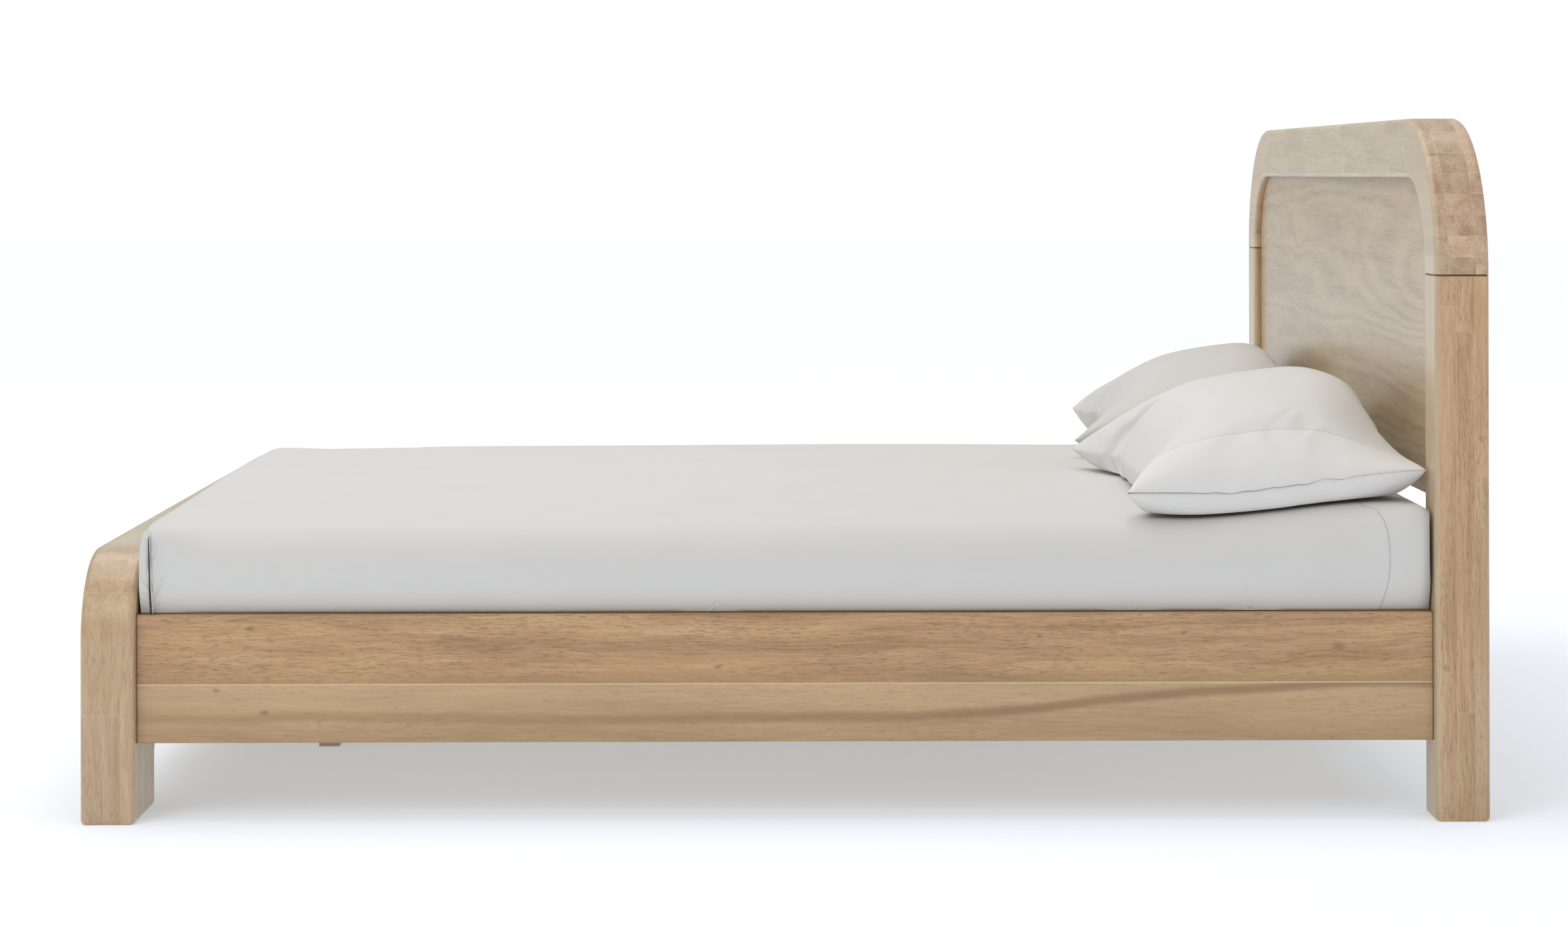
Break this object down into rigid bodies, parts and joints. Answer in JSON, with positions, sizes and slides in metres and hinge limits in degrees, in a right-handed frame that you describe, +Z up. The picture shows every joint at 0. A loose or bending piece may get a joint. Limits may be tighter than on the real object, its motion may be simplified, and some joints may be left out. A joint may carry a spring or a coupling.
{
  "type": "panel bed",
  "caption": "King-size solid-wood bed: rounded headboard with inset panel, low rounded footboard, side rails, slat deck, mattress and pillows.",
  "frame": {"origin": "on the floor, under the middle of the bed's length and width", "axes": "+X to the headboard, +Y to the left side seen from the foot looking at the headboard, +Z up"},
  "size_m": [2.225, 2.03, 1.113],
  "materials": {
    "frame_wood": "clear satin lacquer on light acacia",
    "panel_veneer": "clear satin lacquer on pale veneer",
    "deck_wood": "planed, unfinished",
    "beech_dowel": "fluted, unfinished",
    "zinc_steel": "zinc plated",
    "sheet_cotton": "smooth sateen weave",
    "pillow_cotton": "smooth sateen weave"
  },
  "bodies": {
    "bed_frame": {"headboard_post_left": "frame_wood", "headboard_post_right": "frame_wood", "headboard_corner_left": "frame_wood", "headboard_corner_right": "frame_wood", "headboard_top_rail": "frame_wood", "footboard_leg_left": "frame_wood", "footboard_leg_right": "frame_wood", "footboard_corner_left": "frame_wood", "footboard_corner_right": "frame_wood", "footboard_top_rail": "frame_wood", "footboard_lower_rail": "frame_wood", "footboard_outer_skin": "frame_wood", "footboard_inner_skin": "frame_wood", "side_rail_left": "frame_wood", "side_rail_right": "frame_wood", "headboard_stretcher": "frame_wood", "headboard_panel": "panel_veneer", "slat_01": "deck_wood", "slat_02": "deck_wood", "slat_03": "deck_wood", "slat_04": "deck_wood", "slat_05": "deck_wood", "slat_06": "deck_wood", "slat_07": "deck_wood", "slat_08": "deck_wood", "slat_09": "deck_wood", "slat_10": "deck_wood", "slat_11": "deck_wood", "slat_12": "deck_wood", "slat_13": "deck_wood", "slat_ledger_left": "deck_wood", "slat_ledger_right": "deck_wood", "centre_beam": "deck_wood", "cross_bearer": "deck_wood", "support_leg_foot_left": "deck_wood", "support_leg_foot_right": "deck_wood", "support_leg_middle": "deck_wood", "support_leg_head": "deck_wood", "headboard_dowels": "beech_dowel", "footboard_dowels": "beech_dowel", "corner_bracket_head_left": "zinc_steel", "corner_bracket_head_right": "zinc_steel", "corner_bracket_foot_left": "zinc_steel", "corner_bracket_foot_right": "zinc_steel", "beam_cradle_head": "zinc_steel", "beam_cradle_foot": "zinc_steel", "corner_bolts": "zinc_steel", "bracket_screws": "zinc_steel", "ledger_screws": "zinc_steel", "slat_screws": "zinc_steel"},
    "mattress": {"mattress": "sheet_cotton"},
    "pillow_left": {"pillow_left": "pillow_cotton"},
    "pillow_right": {"pillow_right": "pillow_cotton"}
  },
  "joints": [
    {"name": "mattress_lift", "type": "slide", "parent": "bed_frame", "child": "mattress", "axis": [0, 0, 1], "range_m": [0, 0.35]},
    {"name": "pillow_left_lift", "type": "slide", "parent": "mattress", "child": "pillow_left", "axis": [0, 0, 1], "range_m": [0, 0.35]},
    {"name": "pillow_right_lift", "type": "slide", "parent": "mattress", "child": "pillow_right", "axis": [0, 0, 1], "range_m": [0, 0.35]}
  ]
}
